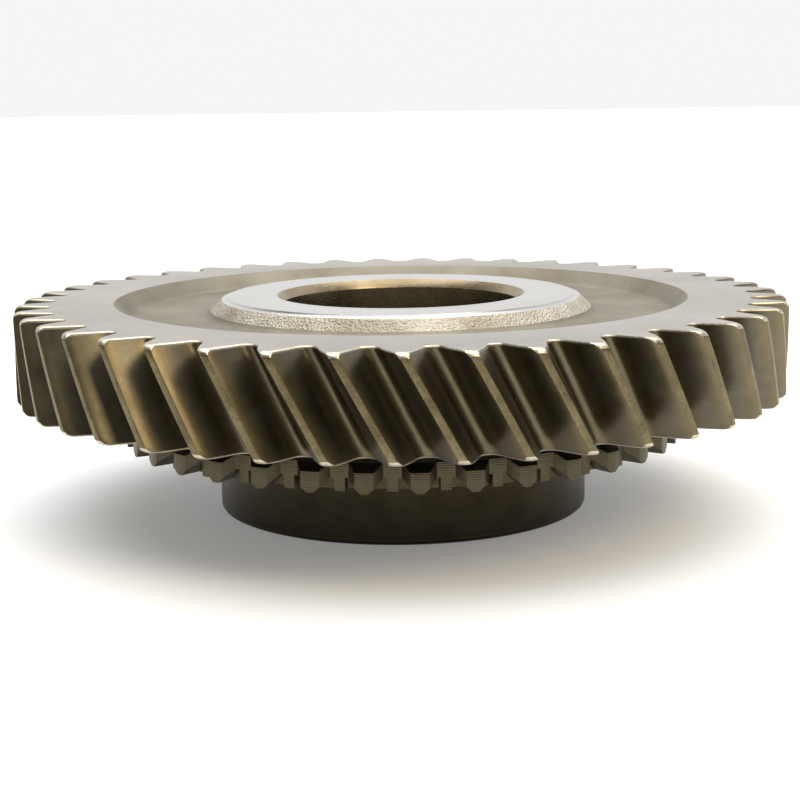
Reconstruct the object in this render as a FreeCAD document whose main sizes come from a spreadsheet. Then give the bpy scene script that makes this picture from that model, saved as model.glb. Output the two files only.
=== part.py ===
import FreeCAD, Part
import math
import os

import Sketcher

# Loose helical gear of a manual gearbox: a forged toothed wheel, the dog clutch ring pressed on its
# hub, and the turned sleeve that carries the synchroniser rings. Millimetres, +Z along the bore.
# z = 0 is the lower end of the hub, and the ground thrust face of the hub is the top.

doc = FreeCAD.newDocument("helical_gear")
os.makedirs("parts", exist_ok=True)

SIZES = {
    # toothing
    "tooth_count": 43, "normal_module": 2.54, "pressure_angle": 20, "helix_angle": 27.0,
    "profile_shift": 0.59, "tip_diameter": 132, "root_diameter": 119.4, "face_width": 16,
    "end_chamfer": 0.3, "tip_rounding": 1.1,
    # heights above the lower end of the hub
    "overall_height": 36.8, "rim_top_height": 36.4, "ring_shoulder_height": 16.7,
    "sleeve_top_height": 12.4,
    # web and hub
    "rim_inner_diameter": 98.4, "web_recess": 2.65, "web_outer_diameter": 92.8,
    "web_inner_diameter": 67.6, "hub_edge_diameter": 62, "hub_face_diameter": 59.8,
    "web_corner_rounding": 1.2, "neck_diameter": 76, "ring_seat_diameter": 68,
    "sleeve_seat_diameter": 54,
    # bore
    "bore_diameter": 41, "bore_chamfer_depth": 1.5, "bore_chamfer_width": 0.95,
    # dog clutch ring
    "dog_count": 36, "dog_tip_diameter": 96.2, "dog_root_diameter": 92.3, "dog_pocket_diameter": 88.7,
    "dog_back_bevel_height": 1.15,
    "dog_gap_root_width": 2.82, "dog_gap_tip_width": 5.65, "dog_stem_width": 1.67,
    "dog_step_height": 14.4, "dog_ridge_width": 1.1, "dog_ridge_height": 12.3,
    "dog_index_angle": -1.95, "cut_overrun": 1.5,
    # sleeve
    "sleeve_diameter": 64.2, "sleeve_edge_rounding": 0.8, "sleeve_inner_chamfer": 0.6,
}

sheet = doc.addObject("Spreadsheet::Sheet", "sizes")
sheet.Label = "sizes"
for row, (alias, value) in enumerate(SIZES.items(), start=1):
    sheet.set(f"A{row}", alias)
    sheet.set(f"B{row}", str(value))
    sheet.setAlias(f"B{row}", alias)
doc.recompute()


def size(alias):
    """A driving size from the sheet."""
    return float(getattr(sheet, alias))


def half(alias):
    return f"sizes.{alias} / 2"


def plane_of(body, role):
    for feature in body.Origin.OriginFeatures:
        if feature.Role == role:
            return feature


def value_of(expression):
    """Number an expression of the sheet's aliases stands for, used to draw a sketch near its final shape."""
    names = {alias: size(alias) for alias in SIZES}
    text = expression
    for alias in sorted(names, key=len, reverse=True):
        text = text.replace(f"sizes.{alias}", repr(names[alias]))
    return FreeCAD.Units.Quantity(text).Value


def polygon_sketch(body, name, role, corners):
    """Closed outline whose corners are held by the sheet: corners are (across, up) expressions."""
    sketch = body.newObject("Sketcher::SketchObject", name)
    sketch.AttachmentSupport = [(plane_of(body, role), "")]
    sketch.MapMode = "FlatFace"
    points = [FreeCAD.Vector(value_of(across), value_of(up), 0) for across, up in corners]
    for index, point in enumerate(points):
        sketch.addGeometry(Part.LineSegment(point, points[(index + 1) % len(points)]), False)
    for index in range(len(points)):
        following = (index + 1) % len(points)
        sketch.addConstraint(Sketcher.Constraint("Coincident", index, 2, following, 1))
    for index, (across, up) in enumerate(corners):
        for kind, expression, number in (("DistanceX", across, points[index].x),
                                         ("DistanceY", up, points[index].y)):
            constraint = sketch.addConstraint(Sketcher.Constraint(kind, -1, 1, index, 1, number))
            sketch.setExpression(f"Constraints[{constraint}]", expression)
    return sketch


def revolved_body(name, corners):
    body = doc.addObject("PartDesign::Body", name)
    body.Label = name
    sketch = polygon_sketch(body, f"{name}_section", "XZ_Plane", corners)
    turned = body.newObject("PartDesign::Revolution", f"{name}_turned")
    turned.Profile = sketch
    turned.ReferenceAxis = (sketch, ["V_Axis"])
    turned.Angle = 360
    body.Tip = turned
    doc.recompute()
    return body


def circle_edges(shape, radius, height):
    """Names of the full circular edges with this radius and height."""
    names = []
    for index, edge in enumerate(shape.Edges, start=1):
        curve = edge.Curve
        if isinstance(curve, Part.Circle) and abs(curve.Radius - radius) < 0.01:
            if abs(curve.Center.z - height) < 0.01:
                names.append(f"Edge{index}")
    return names


def round_edges(body, name, rounding, places):
    base = body.Tip
    names = [edge for radius, height in places for edge in circle_edges(base.Shape, radius, height)]
    fillet = body.newObject("PartDesign::Fillet", name)
    fillet.Base = (base, names)
    fillet.setExpression("Radius", f"sizes.{rounding}")
    body.Tip = fillet
    doc.recompute()


# ---- forged and turned blank of the wheel -------------------------------------------------------

RIM_TOP = "sizes.rim_top_height"
RIM_BOTTOM = "sizes.rim_top_height - sizes.face_width"
BORE = half("bore_diameter")
BORE_MOUTH = "sizes.bore_diameter / 2 + sizes.bore_chamfer_width"

blank = revolved_body("wheel_blank", [
    (BORE, "sizes.bore_chamfer_depth"),
    (BORE, "sizes.overall_height - sizes.bore_chamfer_depth"),
    (BORE_MOUTH, "sizes.overall_height"),
    (half("hub_face_diameter"), "sizes.overall_height"),
    (half("hub_edge_diameter"), RIM_TOP),
    (half("web_inner_diameter"), "sizes.rim_top_height - sizes.web_recess"),
    (half("web_outer_diameter"), "sizes.rim_top_height - sizes.web_recess"),
    (half("rim_inner_diameter"), RIM_TOP),
    (half("tip_diameter"), RIM_TOP),
    (half("tip_diameter"), RIM_BOTTOM),
    (half("rim_inner_diameter"), RIM_BOTTOM),
    (half("web_outer_diameter"), "sizes.rim_top_height - sizes.face_width + sizes.web_recess"),
    (half("neck_diameter"), "sizes.rim_top_height - sizes.face_width + sizes.web_recess"),
    (half("neck_diameter"), "sizes.ring_shoulder_height"),
    (half("ring_seat_diameter"), "sizes.ring_shoulder_height"),
    (half("ring_seat_diameter"), "sizes.sleeve_top_height"),
    (half("sleeve_seat_diameter"), "sizes.sleeve_top_height"),
    (half("sleeve_seat_diameter"), "0"),
    (BORE_MOUTH, "0"),
])
rim_top = size("rim_top_height")
rim_bottom = rim_top - size("face_width")
recess = size("web_recess")
round_edges(blank, "tip_corners", "tip_rounding",
            [(size("tip_diameter") / 2, rim_top), (size("tip_diameter") / 2, rim_bottom)])
round_edges(blank, "web_corners", "web_corner_rounding",
            [(size("web_outer_diameter") / 2, rim_top - recess),
             (size("web_inner_diameter") / 2, rim_top - recess),
             (size("web_outer_diameter") / 2, rim_bottom + recess),
             (size("neck_diameter") / 2, rim_bottom + recess)])


# ---- helical toothing ---------------------------------------------------------------------------

def involute(angle):
    return math.tan(angle) - angle


class Toothing:
    """Transverse geometry of the involute toothing, left-hand helix."""

    def __init__(self):
        helix = math.radians(size("helix_angle"))
        self.count = int(size("tooth_count"))
        transverse_module = size("normal_module") / math.cos(helix)
        normal_pressure = math.radians(size("pressure_angle"))
        transverse_pressure = math.atan(math.tan(normal_pressure) / math.cos(helix))
        pitch_radius = transverse_module * self.count / 2
        thickness = transverse_module * (math.pi / 2 + 2 * size("profile_shift") * math.tan(normal_pressure))
        self.base = pitch_radius * math.cos(transverse_pressure)
        self.tip = size("tip_diameter") / 2
        self.root = size("root_diameter") / 2
        self.base_half_angle = thickness / (2 * pitch_radius) + involute(transverse_pressure)
        self.lead = 2 * math.pi * pitch_radius / math.tan(helix)
        self.root_rounding = self.full_root_rounding()
        # the outline stands a little proud of the tip circle, which the turned blank then trims
        self.trim_allowance = 0.2
        self.flank_spans = 8

    def full_root_rounding(self):
        """Radius of the arc that joins two flanks and touches the root circle, by bisection."""
        low = 0.05
        high = 3.0
        for _ in range(60):
            middle = (low + high) / 2
            centre = self.root + middle
            reach = involute(math.acos(self.base / centre))
            if self.base_half_angle + middle / self.base - math.pi / self.count > reach:
                high = middle
            else:
                low = middle
        return (low + high) / 2

    def twist(self, drop):
        """Turn of the outline about +Z at this depth below the rim's top face."""
        return 2 * math.pi * drop / self.lead

    def flank_point(self, radius, shrink):
        """Polar angle from the tooth's centre line of a flank moved into the tooth by shrink."""
        return self.base_half_angle - shrink / self.base - involute(math.acos(self.base / radius))

    def outline(self, shrink, height, twist):
        """Closed outline of all teeth, moved inwards by shrink."""
        centre = self.root + self.root_rounding
        rounding = self.root_rounding + shrink
        reach = math.sqrt(centre ** 2 - self.base ** 2) - rounding
        lowest = math.hypot(reach, self.base)
        highest = self.tip + self.trim_allowance - shrink
        spans = self.flank_spans
        radii = [lowest + (highest - lowest) * span / spans for span in range(spans + 1)]
        pitch = 2 * math.pi / self.count

        def at(radius, angle):
            turn = angle + twist - math.pi / 2
            return FreeCAD.Vector(radius * math.cos(turn), radius * math.sin(turn), height)

        edges = []
        for tooth in range(self.count):
            middle = tooth * pitch
            rising = [at(r, middle - self.flank_point(r, shrink)) for r in radii]
            falling = [at(r, middle + self.flank_point(r, shrink)) for r in reversed(radii)]
            following = at(lowest, middle + pitch - self.flank_point(lowest, shrink))
            land_middle = at(highest, middle)
            root_middle = at(centre - rounding, middle + pitch / 2)
            for points in (rising, falling):
                flank = Part.BSplineCurve()
                flank.interpolate(points)
                edges.append(flank.toShape())
                if points is rising:
                    edges.append(Part.Arc(rising[-1], land_middle, falling[0]).toShape())
            edges.append(Part.Arc(falling[-1], root_middle, following).toShape())
        return Part.Wire(edges)


def toothed_envelope():
    """Space the hobbed teeth leave: the helical outline, with its edges broken at both ends."""
    teeth = Toothing()
    chamfer = size("end_chamfer")
    top = size("rim_top_height")
    bottom = top - size("face_width")
    # the chamfered ends run this far past the blank, and the core lies this far inside the teeth
    overrun = 0.15
    core_margin = 5
    core_overrun = 1

    def section(shrink, height):
        return teeth.outline(shrink, height, teeth.twist(top - height))

    upper = Part.makeLoft([section(0, top - chamfer), section(chamfer + overrun, top + overrun)], True, True)
    lower = Part.makeLoft([section(chamfer + overrun, bottom - overrun), section(0, bottom + chamfer)],
                          True, True)
    spine = Part.Wire(Part.makeLine(FreeCAD.Vector(0, 0, bottom + chamfer),
                                    FreeCAD.Vector(0, 0, top - chamfer)))
    guide = Part.makeHelix(teeth.lead, size("face_width") - 2 * chamfer, teeth.tip, 0, True)
    guide.translate(FreeCAD.Vector(0, 0, bottom + chamfer))
    sweep = Part.BRepOffsetAPI.MakePipeShell(spine)
    sweep.setAuxiliarySpine(Part.Wire(guide.Edges), True, 0)
    sweep.add(section(0, bottom + chamfer))
    sweep.build()
    sweep.makeSolid()
    middle = sweep.shape()
    core = Part.makeCylinder(teeth.root - core_margin, size("overall_height") + 2 * core_overrun,
                             FreeCAD.Vector(0, 0, -core_overrun))
    return middle.fuse([upper, lower, core])


envelope = doc.addObject("Part::Feature", "tooth_envelope")
envelope.Label = "tooth_envelope"
envelope.Shape = toothed_envelope()

wheel = doc.addObject("Part::Common", "gear_wheel")
wheel.Base = blank
wheel.Tool = envelope
wheel.Refine = True
wheel.Label = "gear_wheel"
doc.recompute()

# ---- dog clutch ring ----------------------------------------------------------------------------

RING_BACK = "sizes.ring_shoulder_height"
RING_FRONT = "sizes.sleeve_top_height"

ring = revolved_body("dog_clutch_ring", [
    (half("ring_seat_diameter"), RING_FRONT),
    (half("ring_seat_diameter"), RING_BACK),
    (half("dog_root_diameter"), RING_BACK),
    (half("dog_tip_diameter"), "sizes.ring_shoulder_height - sizes.dog_back_bevel_height"),
    (half("dog_tip_diameter"), "sizes.dog_ridge_height"),
    (half("dog_pocket_diameter"), "sizes.dog_ridge_height"),
    (half("dog_pocket_diameter"), RING_FRONT),
])

# How much each side of a gap widens where its outline runs past the tip circle.
GAP_OVERRUN = ("sizes.cut_overrun * (sizes.dog_gap_tip_width - sizes.dog_gap_root_width)"
               " / (sizes.dog_tip_diameter - sizes.dog_root_diameter)")

gap_sketch = polygon_sketch(ring, "dog_gap_outline", "XY_Plane", [
    ("-sizes.dog_gap_root_width / 2", "-sizes.dog_root_diameter / 2"),
    ("sizes.dog_gap_root_width / 2", "-sizes.dog_root_diameter / 2"),
    (f"sizes.dog_gap_tip_width / 2 + {GAP_OVERRUN}", "-sizes.dog_tip_diameter / 2 - sizes.cut_overrun"),
    (f"-1 * sizes.dog_gap_tip_width / 2 - {GAP_OVERRUN}", "-sizes.dog_tip_diameter / 2 - sizes.cut_overrun"),
])
gap = ring.newObject("PartDesign::Pocket", "dog_gap")
gap.Profile = gap_sketch
gap.Type = 1
gap.Midplane = True
ring.Tip = gap

# Each tooth ends in a roof: two slopes down to a narrow ridge, which has its full width at the tip
# circle. A full-depth stem is left in the middle of every gap.
ROOF_END = "sizes.dog_tip_diameter * pi / sizes.dog_count / 2 - sizes.dog_ridge_width / 2"
ROOF_DEPTH = "(sizes.dog_tip_diameter - sizes.dog_pocket_diameter) / 2 + sizes.cut_overrun"


def roof_sketch(name, sign):
    factor = "-1 * " if sign < 0 else ""
    sketch = polygon_sketch(ring, name, "XZ_Plane", [
        (f"{factor}sizes.dog_stem_width / 2", "sizes.dog_step_height"),
        (f"{factor}sizes.dog_gap_root_width / 2", "sizes.dog_step_height"),
        (f"{factor}({ROOF_END})", "sizes.dog_ridge_height"),
        (f"{factor}({ROOF_END})", "sizes.dog_ridge_height - sizes.cut_overrun"),
        (f"{factor}sizes.dog_stem_width / 2", "sizes.dog_ridge_height - sizes.cut_overrun"),
    ])
    sketch.AttachmentOffset = FreeCAD.Placement(
        FreeCAD.Vector(0, 0, size("dog_pocket_diameter") / 2), FreeCAD.Rotation())
    return sketch


roofs = []
for label, sign in (("leading", 1), ("trailing", -1)):
    roof = ring.newObject("PartDesign::Pocket", f"dog_roof_{label}")
    roof.Profile = roof_sketch(f"dog_roof_{label}_outline", sign)
    roof.Type = 0
    roof.setExpression("Length", ROOF_DEPTH)
    roof.Reversed = True
    ring.Tip = roof
    roofs.append(roof)
doc.recompute()
for earlier, later in zip([gap] + roofs, roofs):
    if later.Shape.Volume >= earlier.Shape.Volume:
        raise RuntimeError(f"{later.Name} cut nothing")

pattern = ring.newObject("PartDesign::PolarPattern", "dog_teeth")
pattern.Originals = [gap] + roofs
pattern.Axis = (plane_of(ring, "Z_Axis"), [""])
pattern.Angle = 360
pattern.Occurrences = int(size("dog_count"))
ring.Tip = pattern
doc.recompute()
ring.Placement = FreeCAD.Placement(FreeCAD.Vector(0, 0, 0),
                                   FreeCAD.Rotation(FreeCAD.Vector(0, 0, 1), size("dog_index_angle")))

# ---- sleeve under the ring ----------------------------------------------------------------------

sleeve = revolved_body("synchro_sleeve", [
    (half("sleeve_seat_diameter"), "sizes.sleeve_top_height"),
    (half("sleeve_seat_diameter"), "sizes.sleeve_inner_chamfer"),
    ("sizes.sleeve_seat_diameter / 2 + sizes.sleeve_inner_chamfer", "0"),
    (half("sleeve_diameter"), "0"),
    (half("sleeve_diameter"), "sizes.sleeve_top_height"),
])
round_edges(sleeve, "sleeve_edge", "sleeve_edge_rounding", [(size("sleeve_diameter") / 2, 0)])

# ---- check and write ----------------------------------------------------------------------------

doc.recompute()
for feature in doc.Objects:
    if "Invalid" in feature.State or "Error" in feature.State:
        raise RuntimeError(f"{feature.Name} did not compute: {feature.State}")
for piece in (wheel, ring, sleeve):
    shape = piece.Shape
    if shape.isNull() or not shape.isValid() or len(shape.Solids) != 1:
        raise RuntimeError(f"{piece.Label} is not one valid solid")
    shape.exportStep(f"parts/{piece.Label}.step")
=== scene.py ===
import math

import bmesh
import bpy
import numpy as np
from mathutils import Matrix, Vector


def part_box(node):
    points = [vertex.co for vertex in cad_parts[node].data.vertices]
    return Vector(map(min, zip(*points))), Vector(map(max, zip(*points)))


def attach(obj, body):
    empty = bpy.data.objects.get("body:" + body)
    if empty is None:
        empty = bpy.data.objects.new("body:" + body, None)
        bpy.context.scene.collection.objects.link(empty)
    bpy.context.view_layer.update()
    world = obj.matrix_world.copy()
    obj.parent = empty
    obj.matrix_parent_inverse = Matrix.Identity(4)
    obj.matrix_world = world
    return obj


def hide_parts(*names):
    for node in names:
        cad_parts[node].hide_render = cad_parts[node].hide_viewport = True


MM = 0.001
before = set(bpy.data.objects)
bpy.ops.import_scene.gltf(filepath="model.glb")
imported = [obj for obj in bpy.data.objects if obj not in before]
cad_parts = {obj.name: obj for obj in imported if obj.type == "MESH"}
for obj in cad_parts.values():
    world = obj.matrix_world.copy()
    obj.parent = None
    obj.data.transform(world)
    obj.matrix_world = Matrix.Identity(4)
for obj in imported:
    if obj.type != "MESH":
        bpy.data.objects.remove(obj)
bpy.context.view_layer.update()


# ---- sizes of the object, in millimetres, in the CAD frame --------------------------------------

TEETH = 43
NORMAL_MODULE = 2.54
PRESSURE_ANGLE = math.radians(20)
HELIX_ANGLE = math.radians(27.0)
PROFILE_SHIFT = 0.59
TIP_RADIUS = 66.0
ROOT_RADIUS = 59.7
FACE_WIDTH = 16.0
END_CHAMFER = 0.3
TIP_ROUNDING = 1.1
LAND_EDGE = 0.16
NOSE_EDGE = 1.1
HUB_TOP = (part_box("gear_wheel")[1] / MM).z
RIM_TOP = 36.4
RIM_BOTTOM = RIM_TOP - FACE_WIDTH
RECESS = 2.65
BORE_RADIUS = 20.5
NECK_RADIUS = 38.0
RING_SEAT_RADIUS = 34.0
SLEEVE_SEAT_RADIUS = 27.0
SLEEVE_RADIUS = 32.1
SLEEVE_GROOVE = 0.035


# ---- mesh helpers -------------------------------------------------------------------------------

def grid_object(name, rows, row_materials, materials, sharp_degrees=33):
    """Closed ring-shaped mesh from rows of points (millimetres); the last row joins the first.

    A row's material is one number, or one number for each column."""
    rows = np.asarray(rows, float) * MM
    count, columns = rows.shape[:2]
    index = np.arange(count * columns).reshape(count, columns)
    after_row = np.roll(index, -1, axis=0)
    after_column = np.roll(index, -1, axis=1)
    corner = np.roll(after_row, -1, axis=1)
    quads = np.stack([index, after_row, corner, after_column], axis=-1).reshape(-1, 4)
    mesh = bpy.data.meshes.new(name)
    mesh.from_pydata(rows.reshape(-1, 3), [], quads)
    kinds = np.concatenate([np.broadcast_to(kind, columns) for kind in row_materials])
    mesh.polygons.foreach_set("material_index", kinds.astype(np.int32))
    mesh.polygons.foreach_set("use_smooth", np.ones(len(quads), bool))
    for material in materials:
        mesh.materials.append(material)
    mesh.update()
    mesh.set_sharp_from_angle(angle=math.radians(sharp_degrees))
    piece = bpy.data.objects.new(name, mesh)
    bpy.context.scene.collection.objects.link(piece)
    return piece


def arc_corner(before, corner, after, radius, steps):
    """Points of an arc of this radius that rounds the corner of a profile."""
    before, corner, after = (np.array(point, float) for point in (before, corner, after))
    incoming = (before - corner) / np.linalg.norm(before - corner)
    outgoing = (after - corner) / np.linalg.norm(after - corner)
    half_angle = math.acos(float(np.clip(incoming @ outgoing, -1, 1))) / 2
    setback = radius / math.tan(half_angle)
    middle = incoming + outgoing
    middle /= np.linalg.norm(middle)
    centre = corner + middle * radius / math.sin(half_angle)
    first = corner + incoming * setback - centre
    last = corner + outgoing * setback - centre
    sweep = math.atan2(first[0] * last[1] - first[1] * last[0], first @ last)
    points = []
    for step in range(steps + 1):
        turn = sweep * step / steps
        cos, sin = math.cos(turn), math.sin(turn)
        points.append(centre + np.array([first[0] * cos - first[1] * sin, first[0] * sin + first[1] * cos]))
    return points


def profile(corners):
    """Radius-height points and materials of a turned section.

    Each corner is (radius, height, rounding, arc steps, divisions to the next, material to the next)."""
    points = []
    kinds = []
    closing = len(corners)
    for number, (radius, height, rounding, steps, divisions, kind) in enumerate(corners):
        here = np.array([radius, height])
        if rounding and 0 < number < closing - 1:
            arc = arc_corner(corners[number - 1][:2], here, corners[number + 1][:2], rounding, steps)
        else:
            arc = [here]
        if points:
            start = points[-1]
            pieces, previous_kind = spans
            for piece in range(1, pieces):
                points.append(start + (arc[0] - start) * piece / pieces)
                kinds.append(previous_kind)
            kinds.append(previous_kind)
        for place, point in enumerate(arc):
            points.append(point)
            if place < len(arc) - 1:
                kinds.append(kind)
        spans = (divisions, kind)
    return points, kinds


# ---- toothing -----------------------------------------------------------------------------------

def involute(angle):
    return math.tan(angle) - angle


TRANSVERSE_MODULE = NORMAL_MODULE / math.cos(HELIX_ANGLE)
TRANSVERSE_PRESSURE = math.atan(math.tan(PRESSURE_ANGLE) / math.cos(HELIX_ANGLE))
PITCH_RADIUS = TRANSVERSE_MODULE * TEETH / 2
BASE_RADIUS = PITCH_RADIUS * math.cos(TRANSVERSE_PRESSURE)
TOOTH_THICKNESS = TRANSVERSE_MODULE * (math.pi / 2 + 2 * PROFILE_SHIFT * math.tan(PRESSURE_ANGLE))
BASE_HALF_ANGLE = TOOTH_THICKNESS / (2 * PITCH_RADIUS) + involute(TRANSVERSE_PRESSURE)
TWIST_PER_MM = math.tan(HELIX_ANGLE) / PITCH_RADIUS
TOOTH_PITCH = 2 * math.pi / TEETH
ROOT_STEPS, FLANK_STEPS, EDGE_STEPS = 3, 6, 3
HALF_POINTS = ROOT_STEPS + FLANK_STEPS + 1 + EDGE_STEPS
COLUMNS = TEETH * 2 * HALF_POINTS
FIRST_LAND_COLUMN = ROOT_STEPS + FLANK_STEPS
LAST_LAND_COLUMN = 2 * HALF_POINTS - FIRST_LAND_COLUMN


def root_rounding():
    low, high = 0.05, 3.0
    for _ in range(50):
        middle = (low + high) / 2
        reach = involute(math.acos(BASE_RADIUS / (ROOT_RADIUS + middle)))
        if BASE_HALF_ANGLE + middle / BASE_RADIUS - TOOTH_PITCH / 2 > reach:
            high = middle
        else:
            low = middle
    return middle


ROOT_ROUNDING = root_rounding()


def flank_angle(radius, shrink):
    return BASE_HALF_ANGLE - shrink / BASE_RADIUS - involute(math.acos(BASE_RADIUS / radius))


def tooth_outline(shrink, limit, edge_radius):
    """Polar points (radius, angle) of one pitch, from the middle of one gap to the middle of the next."""
    centre = ROOT_RADIUS + ROOT_ROUNDING
    rounding = ROOT_ROUNDING + shrink
    reach = math.sqrt(centre ** 2 - BASE_RADIUS ** 2) - rounding
    lowest = math.hypot(reach, BASE_RADIUS)
    highest = min(TIP_RADIUS - shrink, limit)
    # the land's edge is an arc between the flank, which leans by this much here, and the land
    half_land = highest * flank_angle(highest, shrink)
    lean = math.acos(BASE_RADIUS / highest) - flank_angle(highest, shrink)
    setback_ratio = math.tan((math.pi / 2 - lean) / 2)
    edge_radius = min(edge_radius, 0.9 * half_land / setback_ratio)
    edge_start = highest - edge_radius * (1 - math.sin(lean))
    # point where the root arc meets the flank, seen from the arc's centre in the middle of the gap
    start = flank_angle(lowest, shrink)
    across = lowest * math.sin(TOOTH_PITCH / 2 - start)
    down = centre - lowest * math.cos(TOOTH_PITCH / 2 - start)
    end_turn = math.atan2(across, down)
    half = []
    for step in range(ROOT_STEPS):
        turn = end_turn * step / ROOT_STEPS
        along = rounding * math.sin(turn)
        height = centre - rounding * math.cos(turn)
        half.append((math.hypot(along, height), -TOOTH_PITCH / 2 + math.atan2(along, height)))
    for step in range(FLANK_STEPS + 1):
        radius = lowest + (edge_start - lowest) * step / FLANK_STEPS
        half.append((radius, -flank_angle(radius, shrink)))
    for step in range(1, EDGE_STEPS + 1):
        turn = lean + (math.pi / 2 - lean) * step / EDGE_STEPS
        across = half_land - edge_radius * setback_ratio + edge_radius * math.cos(turn)
        radius = highest - edge_radius * (1 - math.sin(turn))
        half.append((radius, -across / radius))
    mirrored = [(radius, -angle) for radius, angle in reversed(half)]
    return half + [(highest, 0.0)] + mirrored[:-1]


def outline_row(height, shrink, limit, edge_radius):
    drop = RIM_TOP - height
    pitch = np.array(tooth_outline(shrink, limit, edge_radius))
    radii = np.tile(pitch[:, 0], TEETH)
    angles = np.concatenate([pitch[:, 1] + tooth * TOOTH_PITCH for tooth in range(TEETH)])
    turn = angles + drop * TWIST_PER_MM - math.pi / 2
    return np.stack([radii * np.cos(turn), radii * np.sin(turn), np.full_like(turn, height)], axis=-1)


def circle_row(radius, height, twist_drop=0.0):
    angles = np.arange(COLUMNS) / COLUMNS * 2 * math.pi - TOOTH_PITCH / 2
    turn = angles + twist_drop * TWIST_PER_MM - math.pi / 2
    return np.stack([radius * np.cos(turn), radius * np.sin(turn), np.full_like(turn, height)], axis=-1)


def toothed_rows():
    """Rows of the toothing from the rim's lower face up to its upper face."""
    depths = [0.0, 0.06, 0.16, 0.3, 0.5, 0.8, TIP_ROUNDING]
    inner = list(np.linspace(TIP_ROUNDING, FACE_WIDTH - TIP_ROUNDING, 12))[1:-1]
    levels = depths + inner + [FACE_WIDTH - depth for depth in reversed(depths)]
    rows = []
    for depth in reversed(levels):
        edge = min(depth, FACE_WIDTH - depth)
        shrink = max(0.0, END_CHAMFER - edge)
        limit = TIP_RADIUS
        edge_radius = LAND_EDGE
        if edge < TIP_ROUNDING:
            limit = TIP_RADIUS - TIP_ROUNDING + math.sqrt(TIP_ROUNDING ** 2 - (TIP_ROUNDING - edge) ** 2)
            edge_radius += (NOSE_EDGE - LAND_EDGE) * (1 - edge / TIP_ROUNDING) ** 2
        rows.append(outline_row(RIM_TOP - depth, shrink, limit, edge_radius))
    return rows


# ---- materials ----------------------------------------------------------------------------------

class Nodes:
    """Small helper that builds the node tree of one material."""

    def __init__(self, name, roughness, metallic=1.0):
        self.material = bpy.data.materials.new(name)
        self.material.use_nodes = True
        self.tree = self.material.node_tree
        self.shader = self.tree.nodes["Principled BSDF"]
        self.shader.inputs["Metallic"].default_value = metallic
        self.shader.inputs["Roughness"].default_value = roughness
        self.position = self.tree.nodes.new("ShaderNodeTexCoord").outputs["Object"]

    def new(self, kind, **settings):
        node = self.tree.nodes.new(kind)
        for key, value in settings.items():
            setattr(node, key, value)
        return node

    def link(self, source, target):
        self.tree.links.new(source, target)

    def noise(self, size_mm, detail=3.0, vector=None, roughness=0.55):
        node = self.new("ShaderNodeTexNoise")
        node.inputs["Scale"].default_value = 1000.0 / size_mm
        node.inputs["Detail"].default_value = detail
        node.inputs["Roughness"].default_value = roughness
        self.link(vector or self.position, node.inputs["Vector"])
        return node.outputs["Fac"]

    def cells(self, size_mm):
        node = self.new("ShaderNodeTexVoronoi", feature="F1")
        node.inputs["Scale"].default_value = 1000.0 / size_mm
        self.link(self.position, node.inputs["Vector"])
        return node.outputs["Distance"]

    def polar(self):
        """Radius, angle and height of the point, in metres and radians."""
        split = self.new("ShaderNodeSeparateXYZ")
        self.link(self.position, split.inputs[0])
        radius = self.math("SQRT", self.math("ADD", self.math("MULTIPLY", split.outputs[0], split.outputs[0]),
                                             self.math("MULTIPLY", split.outputs[1], split.outputs[1])))
        angle = self.math("ARCTAN2", split.outputs[1], split.outputs[0])
        return radius, angle, split.outputs[2]

    def math(self, operation, first, second=None):
        node = self.new("ShaderNodeMath", operation=operation)
        for socket, value in zip(node.inputs, (first, second)):
            if value is None:
                continue
            if isinstance(value, (int, float)):
                socket.default_value = value
            else:
                self.link(value, socket)
        return node.outputs[0]

    def combine(self, first, second, third):
        node = self.new("ShaderNodeCombineXYZ")
        for socket, value in zip(node.inputs, (first, second, third)):
            if isinstance(value, (int, float)):
                socket.default_value = value
            else:
                self.link(value, socket)
        return node.outputs[0]

    def ramp(self, factor, stops):
        node = self.new("ShaderNodeValToRGB")
        elements = node.color_ramp.elements
        while len(elements) < len(stops):
            elements.new(0.5)
        for element, (place, colour) in zip(elements, stops):
            element.position = place
            element.color = (*colour, 1.0)
        self.link(factor, node.inputs[0])
        return node.outputs[0]

    def mix(self, factor, first, second):
        node = self.new("ShaderNodeMix", data_type="RGBA")
        for name, value in (("Factor_Float", factor), ("A_Color", first), ("B_Color", second)):
            socket = next(socket for socket in node.inputs if socket.identifier == name)
            if isinstance(value, tuple):
                socket.default_value = (*value, 1.0)
            elif isinstance(value, (int, float)):
                socket.default_value = value
            else:
                self.link(value, socket)
        return next(socket for socket in node.outputs if socket.identifier == "Result_Color")

    def turning_lines(self, height, pitch_mm, waver):
        """Feed marks round the axis, 0 in the grooves and 1 on the crests."""
        place = self.math("MULTIPLY", height, 2 * math.pi / (pitch_mm * MM))
        place = self.math("ADD", place, self.math("MULTIPLY", waver, 3.0))
        return self.math("ADD", self.math("MULTIPLY", self.math("SINE", place), 0.5), 0.5)

    def spread(self, factor, low, high, from_low=0.3, from_high=0.7):
        node = self.new("ShaderNodeMapRange")
        node.inputs["From Min"].default_value = from_low
        node.inputs["From Max"].default_value = from_high
        node.inputs["To Min"].default_value = low
        node.inputs["To Max"].default_value = high
        self.link(factor, node.inputs["Value"])
        return node.outputs["Result"]

    def bump(self, height, depth_mm, strength=1.0, normal=None):
        node = self.new("ShaderNodeBump")
        node.inputs["Distance"].default_value = depth_mm * MM
        node.inputs["Strength"].default_value = strength
        self.link(height, node.inputs["Height"])
        if normal is not None:
            self.link(normal, node.inputs["Normal"])
        return node.outputs["Normal"]

    def finish(self, colour=None, roughness=None, normal=None):
        if colour is not None:
            self.link(colour, self.shader.inputs["Base Color"])
        if roughness is not None:
            self.link(roughness, self.shader.inputs["Roughness"])
        if normal is not None:
            self.link(normal, self.shader.inputs["Normal"])
        return self.material


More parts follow.
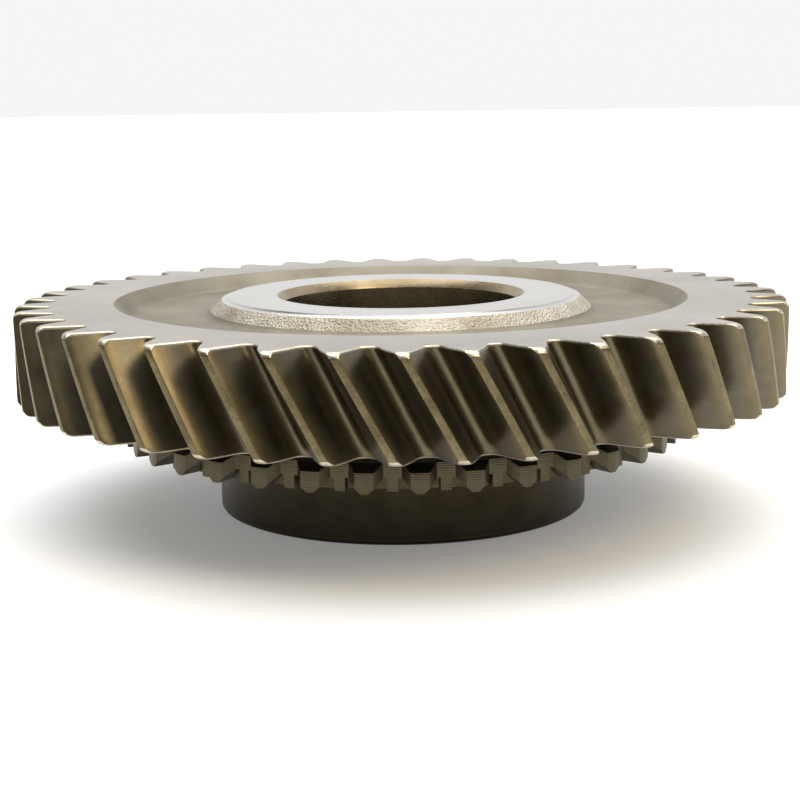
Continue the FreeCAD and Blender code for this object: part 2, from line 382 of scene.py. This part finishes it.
def toothing_metal():
    """Shaved and hardened flanks: a blue-grey lapped band between olive-brown root and tip."""
    nodes = Nodes("hardened_flanks", 0.3)
    radius, angle, height = nodes.polar()
    along = nodes.math("ADD", angle, nodes.math("MULTIPLY", height, TWIST_PER_MM / MM))
    vector = nodes.combine(nodes.math("MULTIPLY", along, TIP_RADIUS * MM), radius,
                           nodes.math("MULTIPLY", height, 0.06))
    streaks = nodes.noise(0.3, 2.0, vector)
    clouds = nodes.noise(6.0, 4.0)
    grain = nodes.noise(0.45, 3.0)
    depth = nodes.spread(radius, 0.0, 1.0, ROOT_RADIUS * MM, TIP_RADIUS * MM)
    wandering = nodes.math("ADD", depth, nodes.math("MULTIPLY", nodes.math("SUBTRACT", clouds, 0.5), 0.5))
    bands = nodes.ramp(wandering, [(0.0, (0.12, 0.10, 0.06)), (0.3, (0.15, 0.13, 0.083)),
                                   (0.55, (0.135, 0.13, 0.113)), (0.78, (0.168, 0.146, 0.094)),
                                   (1.0, (0.225, 0.18, 0.105))])
    stain = nodes.ramp(nodes.noise(2.2, 4.0), [(0.35, (0.115, 0.098, 0.062)), (0.7, (0.18, 0.162, 0.12))])
    colour = nodes.mix(0.4, bands, stain)
    rough = nodes.spread(nodes.math("ADD", nodes.math("MULTIPLY", clouds, 0.6),
                                    nodes.math("MULTIPLY", grain, 0.4)), 0.27, 0.43)
    normal = nodes.bump(streaks, 0.007)
    normal = nodes.bump(grain, 0.008, normal=normal)
    return nodes.finish(colour, rough, normal)


def land_metal():
    """Tip lands left from turning: bronze, grainy, darker where oil sits."""
    nodes = Nodes("tip_lands", 0.4)
    grain = nodes.noise(0.35, 4.0, roughness=0.7)
    clouds = nodes.noise(3.0, 3.0)
    mixed = nodes.math("ADD", nodes.math("MULTIPLY", grain, 0.6), nodes.math("MULTIPLY", clouds, 0.4))
    colour = nodes.ramp(mixed, [(0.34, (0.085, 0.068, 0.036)), (0.52, (0.17, 0.143, 0.078)),
                                (0.68, (0.26, 0.225, 0.13))])
    rough = nodes.spread(grain, 0.32, 0.52)
    return nodes.finish(colour, rough, nodes.bump(grain, 0.03))


def rim_face_metal(name, dark, light):
    nodes = Nodes(name, 0.42)
    radius, angle, height = nodes.polar()
    rings = nodes.noise(0.22, 2.0, nodes.combine(radius, nodes.math("MULTIPLY", angle, 0.0015), 0.0))
    grain = nodes.noise(0.35, 3.0)
    clouds = nodes.noise(14.0, 3.0)
    mixed = nodes.math("ADD", nodes.math("MULTIPLY", clouds, 0.6), nodes.math("MULTIPLY", rings, 0.4))
    colour = nodes.ramp(mixed, [(0.35, dark), (0.65, light)])
    rough = nodes.spread(nodes.math("ADD", nodes.math("MULTIPLY", grain, 0.5),
                                    nodes.math("MULTIPLY", clouds, 0.5)), 0.36, 0.5)
    normal = nodes.bump(rings, 0.004)
    normal = nodes.bump(grain, 0.006, normal=normal)
    return nodes.finish(colour, rough, normal)


def ground_metal():
    nodes = Nodes("ground_hub_face", 0.25)
    radius, angle, height = nodes.polar()
    rings = nodes.noise(0.12, 2.0, nodes.combine(radius, nodes.math("MULTIPLY", angle, 0.001), 0.0))
    clouds = nodes.noise(20.0, 2.0)
    colour = nodes.ramp(clouds, [(0.3, (0.60, 0.59, 0.57)), (0.7, (0.67, 0.66, 0.645))])
    rough = nodes.spread(rings, 0.22, 0.34)
    return nodes.finish(colour, rough, nodes.bump(rings, 0.002))


def forged_metal(name, grain_mm, depth_mm, dark, light):
    """Shot-blasted forging: fine pitted grain over slow stains."""
    nodes = Nodes(name, 0.55)
    grain = nodes.noise(grain_mm, 3.0)
    pits = nodes.cells(grain_mm * 1.3)
    clouds = nodes.noise(11.0, 4.0)
    mixed = nodes.math("ADD", nodes.math("MULTIPLY", clouds, 0.55), nodes.math("MULTIPLY", grain, 0.45))
    colour = nodes.ramp(mixed, [(0.36, dark), (0.64, light)])
    rough = nodes.spread(grain, 0.42, 0.62)
    normal = nodes.bump(grain, depth_mm)
    normal = nodes.bump(pits, depth_mm * 0.8, normal=normal)
    return nodes.finish(colour, rough, normal)


def edge_wear_and_highlight_metal():
    # Bare metal of the broken edges, made brighter as a painted highlight along the chamfers and noses.
    nodes = Nodes("broken_edges_and_highlights", 0.3)
    marks = nodes.noise(0.4, 2.0)
    colour = nodes.ramp(marks, [(0.3, (0.45, 0.40, 0.30)), (0.7, (0.67, 0.62, 0.51))])
    rough = nodes.spread(marks, 0.26, 0.4)
    return nodes.finish(colour, rough, nodes.bump(marks, 0.01))


def bore_metal(name, dark, light):
    nodes = Nodes(name, 0.22)
    radius, angle, height = nodes.polar()
    lines = nodes.noise(0.15, 2.0, nodes.combine(nodes.math("MULTIPLY", angle, 0.002), 0.0, height))
    stains = nodes.noise(5.0, 3.0)
    mixed = nodes.math("ADD", nodes.math("MULTIPLY", lines, 0.5), nodes.math("MULTIPLY", stains, 0.5))
    colour = nodes.ramp(mixed, [(0.35, dark), (0.65, light)])
    rough = nodes.spread(lines, 0.22, 0.36)
    return nodes.finish(colour, rough, nodes.bump(lines, 0.002))


def ring_metal():
    """Clutch ring: turning marks over a brown film, its whole colour kept very dark as painted shade under
    the gear's rim.
    """
    nodes = Nodes("clutch_ring_painted_shade", 0.4)
    radius, angle, height = nodes.polar()
    clouds = nodes.noise(3.0, 4.0)
    grain = nodes.noise(0.35, 3.0)
    lines = nodes.turning_lines(height, 0.38, clouds)
    # film and line colours are kept very dark: painted shade under the gear's overhang
    film = nodes.ramp(clouds, [(0.3, (0.062, 0.052, 0.03)), (0.7, (0.108, 0.095, 0.062))])
    colour = nodes.mix(nodes.math("MULTIPLY", lines, 0.55), film, (0.14, 0.126, 0.088))
    rough = nodes.spread(clouds, 0.34, 0.5)
    normal = nodes.bump(lines, 0.018)
    normal = nodes.bump(grain, 0.02, normal=normal)
    return nodes.finish(colour, rough, normal)


def sleeve_metal():
    """Phosphated sleeve, nearly black, brown where the feed marks have worn bright."""
    nodes = Nodes("dark_turned_sleeve", 0.4)
    radius, angle, height = nodes.polar()
    clouds = nodes.noise(5.0, 4.0)
    grain = nodes.noise(0.3, 3.0)
    crest = nodes.spread(radius, 0.0, 1.0, (SLEEVE_RADIUS - SLEEVE_GROOVE) * MM, SLEEVE_RADIUS * MM)
    film = nodes.ramp(clouds, [(0.3, (0.022, 0.018, 0.011)), (0.7, (0.038, 0.032, 0.021))])
    worn = nodes.math("MULTIPLY", crest, nodes.spread(clouds, 0.35, 0.85))
    colour = nodes.mix(worn, film, (0.085, 0.071, 0.046))
    rough = nodes.spread(nodes.math("ADD", nodes.math("MULTIPLY", clouds, 0.5),
                                    nodes.math("MULTIPLY", grain, 0.5)), 0.32, 0.48)
    return nodes.finish(colour, rough, nodes.bump(grain, 0.01))


FLANKS, LANDS, RIM, WEB, HUB_SIDE, GROUND, EDGE, BORE, MOUTH, UNDERSIDE = range(10)
wheel_materials = [
    toothing_metal(), land_metal(),
    rim_face_metal("turned_rim_face", (0.37, 0.345, 0.31), (0.47, 0.445, 0.41)),
    forged_metal("forged_web", 0.45, 0.03, (0.185, 0.165, 0.12), (0.30, 0.275, 0.22)),
    # hub side: forged grain, with its light tone partly a painted highlight that copies grain glints
    forged_metal("forged_hub_side_grain_and_glints", 0.34, 0.17, (0.29, 0.25, 0.18), (0.66, 0.62, 0.53)),
    ground_metal(), edge_wear_and_highlight_metal(),
    # bore and seats: honed steel made dark, as painted shade inside the bore
    bore_metal("honed_bore_painted_shade", (0.17, 0.15, 0.105), (0.27, 0.245, 0.19)),
    bore_metal("bore_mouth", (0.30, 0.235, 0.14), (0.46, 0.38, 0.255)),
    # underside: the turned rim-face finish made much darker, as painted shade under the gear
    rim_face_metal("underside_painted_shade", (0.11, 0.10, 0.08), (0.19, 0.175, 0.145)),
]


# ---- wheel --------------------------------------------------------------------------------------

def wheel():
    rows = toothed_rows()
    toothing_kinds = np.full(2 * HALF_POINTS, FLANKS)
    toothing_kinds[FIRST_LAND_COLUMN:LAST_LAND_COLUMN] = LANDS
    kinds = [np.tile(toothing_kinds, TEETH)] * len(rows)
    # noses and tooth-end rows take the EDGE material: bare edge wear, brightened as a painted highlight
    nose_kinds = toothing_kinds.copy()
    nose_kinds[FIRST_LAND_COLUMN:LAST_LAND_COLUMN] = EDGE
    for row in (2, 3, 4, -6, -5, -4):
        kinds[row] = np.tile(nose_kinds, TEETH)
    for row in (0, 1, -3, -2):
        kinds[row] = EDGE
    kinds[-1] = RIM
    under = RIM_BOTTOM + RECESS
    section = [
        (58.2, RIM_TOP, 0, 0, 1, RIM),
        (49.2, RIM_TOP, 0.35, 2, 1, WEB),
        (46.4, RIM_TOP - RECESS, 2.0, 4, 2, WEB),
        (33.8, RIM_TOP - RECESS, 2.0, 4, 1, WEB),
        # hub side rows: forged grain, partly painted highlight
        (32.96, RIM_TOP - RECESS + 0.795, 0, 0, 3, HUB_SIDE),
        (31.0, RIM_TOP, 0.2, 2, 1, GROUND),
        (30.05, RIM_TOP + 0.04, 0.04, 1, 1, GROUND),
        (29.9, HUB_TOP, 0.06, 2, 1, GROUND),
        (BORE_RADIUS + 0.95, HUB_TOP, 0.1, 2, 1, MOUTH),
        # bore rows: their dark colour is painted shade inside the bore
        (BORE_RADIUS, HUB_TOP - 1.5, 0.15, 2, 1, BORE),
        (BORE_RADIUS, 1.5, 0.15, 2, 1, BORE),
        (BORE_RADIUS + 0.95, 0.0, 0.1, 2, 1, GROUND),
        (SLEEVE_SEAT_RADIUS, 0.0, 0.1, 1, 1, GROUND),
        (SLEEVE_SEAT_RADIUS, 12.4, 0, 0, 1, BORE),
        (RING_SEAT_RADIUS, 12.4, 0.1, 1, 1, BORE),
        # underside rows: their colour is painted shade under the gear
        (RING_SEAT_RADIUS, 16.7, 0, 0, 1, UNDERSIDE),
        (NECK_RADIUS, 16.7, 0.3, 2, 1, UNDERSIDE),
        (NECK_RADIUS, under, 0.8, 3, 1, UNDERSIDE),
        (46.4, under, 1.2, 4, 1, UNDERSIDE),
        (49.2, RIM_BOTTOM, 0.35, 2, 1, UNDERSIDE),
        (58.2, RIM_BOTTOM, 0, 0, 1, UNDERSIDE),
    ]
    points, turned_kinds = profile(section)
    drops = np.interp([point[1] for point in points], [RIM_BOTTOM, RIM_TOP], [FACE_WIDTH, 0.0])
    for point, drop in zip(points, drops):
        rows.append(circle_row(point[0], point[1], drop))
    kinds += turned_kinds + [UNDERSIDE]
    piece = grid_object("gear_wheel_forging", rows, kinds, wheel_materials)
    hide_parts("gear_wheel")
    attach(piece, "root")
    return piece


wheel()


# ---- sleeve -------------------------------------------------------------------------------------

def lathe(name, points, kinds, materials, columns):
    angles = np.arange(columns) / columns * 2 * math.pi
    rows = [np.stack([radius * np.cos(angles), radius * np.sin(angles), np.full_like(angles, height)],
                     axis=-1) for radius, height in points]
    return grid_object(name, rows, kinds, materials)


def sleeve():
    """Turned sleeve with shallow feed grooves, from its top outside edge down and back up inside."""
    pitch = 0.36
    top, edge = 12.4, 0.8
    points = []
    heights = np.arange(top - 0.2, edge + 0.3, -pitch / 4)
    points.append((SLEEVE_RADIUS - 0.15, top))
    points.append((SLEEVE_RADIUS, top - 0.12))
    for number, height in enumerate(heights):
        points.append((SLEEVE_RADIUS - SLEEVE_GROOVE * (0.0, 0.5, 1.0, 0.5)[number % 4], height))
    for step in range(6):
        turn = math.pi / 2 * step / 5
        points.append((SLEEVE_RADIUS - edge + edge * math.cos(turn), edge - edge * math.sin(turn)))
    points.append((SLEEVE_SEAT_RADIUS + 0.6, 0.0))
    points.append((SLEEVE_SEAT_RADIUS, 0.6))
    points.append((SLEEVE_SEAT_RADIUS, top))
    piece = lathe("turned_sleeve", points[::-1], [0] * len(points), [sleeve_metal()], 480)
    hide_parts("synchro_sleeve")
    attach(piece, "root")
    return piece


sleeve()


# ---- dog clutch ring ----------------------------------------------------------------------------

def clutch_ring():
    """The ring's own solid with its edges broken."""
    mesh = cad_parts["dog_clutch_ring"].data.copy()
    mesh.name = "dog_clutch_teeth"
    work = bmesh.new()
    work.from_mesh(mesh)
    bmesh.ops.remove_doubles(work, verts=work.verts, dist=1e-6)
    sharp = [edge for edge in work.edges
             if len(edge.link_faces) == 2 and edge.calc_face_angle() > math.radians(20)]
    bmesh.ops.bevel(work, geom=sharp, offset=0.1 * MM, offset_type="OFFSET", segments=2, profile=0.5,
                    affect="EDGES", clamp_overlap=True)
    fresh = bpy.data.meshes.new("dog_clutch_teeth")
    work.to_mesh(fresh)
    work.free()
    bpy.data.meshes.remove(mesh)
    fresh.polygons.foreach_set("use_smooth", np.ones(len(fresh.polygons), bool))
    fresh.set_sharp_from_angle(angle=math.radians(35))
    fresh.materials.clear()
    fresh.materials.append(ring_metal())
    piece = bpy.data.objects.new("dog_clutch_teeth", fresh)
    bpy.context.scene.collection.objects.link(piece)
    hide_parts("dog_clutch_ring")
    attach(piece, "root")
    return piece


clutch_ring()


# ---- floor, light and camera --------------------------------------------------------------------

def floor():
    mesh = bpy.data.meshes.new("floor")
    reach = 6.0
    mesh.from_pydata([(-reach, -reach, 0), (reach, -reach, 0), (reach, reach, 0), (-reach, reach, 0)], [],
                     [(0, 1, 2, 3)])
    piece = bpy.data.objects.new("floor", mesh)
    bpy.context.scene.collection.objects.link(piece)
    nodes = Nodes("pale_floor", 0.9, metallic=0.0)
    nodes.shader.inputs["Specular IOR Level"].default_value = 0.1
    speckle = nodes.noise(30.0, 2.0)
    colour = nodes.ramp(speckle, [(0.3, (0.93, 0.93, 0.93)), (0.7, (0.95, 0.95, 0.95))])
    nodes.shader.inputs["Emission Color"].default_value = (1.0, 1.0, 1.0, 1.0)
    nodes.shader.inputs["Emission Strength"].default_value = 0.2
    mesh.materials.append(nodes.finish(colour))


def area_light(name, place, target, size, power, colour=(1, 1, 1)):
    light = bpy.data.lights.new(name, "AREA")
    light.shape = "RECTANGLE"
    light.size, light.size_y = size
    light.energy = power
    light.color = colour
    lamp = bpy.data.objects.new(name, light)
    lamp.location = place
    direction = Vector(target) - Vector(place)
    lamp.rotation_euler = direction.to_track_quat("-Z", "Y").to_euler()
    bpy.context.scene.collection.objects.link(lamp)
    return lamp


def sky_light(strength):
    """Very wide overhead light that keeps the floor evenly pale and its shadows soft."""
    light = bpy.data.lights.new("overhead", "SUN")
    light.energy = strength
    light.angle = math.radians(80)
    lamp = bpy.data.objects.new("overhead", light)
    lamp.rotation_euler = (math.radians(-6), 0, 0)
    bpy.context.scene.collection.objects.link(lamp)


def studio_world():
    """White behind and over the object, dark and warm in front of it."""
    world = bpy.data.worlds.new("studio")
    world.use_nodes = True
    bpy.context.scene.world = world
    tree = world.node_tree
    background = tree.nodes["Background"]
    coordinates = tree.nodes.new("ShaderNodeTexCoord")
    split = tree.nodes.new("ShaderNodeSeparateXYZ")
    tree.links.new(coordinates.outputs["Generated"], split.inputs[0])
    ramp = tree.nodes.new("ShaderNodeValToRGB")
    shift = tree.nodes.new("ShaderNodeMapRange")
    shift.inputs["From Min"].default_value = -1
    lean = tree.nodes.new("ShaderNodeMath")
    lean.operation = "MULTIPLY_ADD"
    lean.inputs[1].default_value = 0.2
    tree.links.new(split.outputs["X"], lean.inputs[0])
    tree.links.new(split.outputs["Y"], lean.inputs[2])
    tree.links.new(lean.outputs[0], shift.inputs["Value"])
    tree.links.new(shift.outputs["Result"], ramp.inputs[0])
    stops = [(0.0, (0.11, 0.10, 0.075)), (0.25, (0.15, 0.14, 0.115)), (0.5, (0.27, 0.26, 0.24)),
             (0.75, (0.92, 0.92, 0.92))]
    elements = ramp.color_ramp.elements
    while len(elements) < len(stops):
        elements.new(0.5)
    for element, (place, colour) in zip(elements, stops):
        element.position = place
        element.color = (*colour, 1.0)
    tree.links.new(ramp.outputs[0], background.inputs["Color"])
    background.inputs["Strength"].default_value = 1.0


def camera():
    """Camera close in front of the gear, a little above it and tipped down."""
    distance = 290.4 * MM
    elevation = math.radians(6.849)
    aim_right, aim_down, roll = math.radians(0.071), math.radians(3.622), math.radians(0.803)
    side = Vector((1, 0, 0))
    forward = Vector((0, math.cos(elevation), -math.sin(elevation)))
    forward = Matrix.Rotation(aim_right, 3, side.cross(forward)) @ forward
    side = Matrix.Rotation(aim_right, 3, Vector((0, 0, 1))) @ side
    forward = Matrix.Rotation(-aim_down, 3, side) @ forward
    up = side.cross(forward)
    side, up = (Matrix.Rotation(roll, 3, forward) @ axis for axis in (side, up))
    data = bpy.data.cameras.new("camera")
    data.sensor_width = 36.0
    data.lens = 74.86
    data.clip_start = 0.01
    eye = bpy.data.objects.new("camera", data)
    pose = Matrix((side, up, -forward)).transposed().to_4x4()
    pose.translation = Vector((0, -distance * math.cos(elevation),
                               RIM_TOP * MM + distance * math.sin(elevation)))
    eye.matrix_world = pose
    bpy.context.scene.collection.objects.link(eye)
    bpy.context.scene.camera = eye


floor()
studio_world()
sky_light(2.7)
area_light("warm_softbox", (0.39, -0.52, 0.58), (0, 0, 0.03), (0.42, 0.30), 1.9, (1.0, 0.82, 0.54))
camera()
bpy.context.scene.view_settings.view_transform = "Standard"
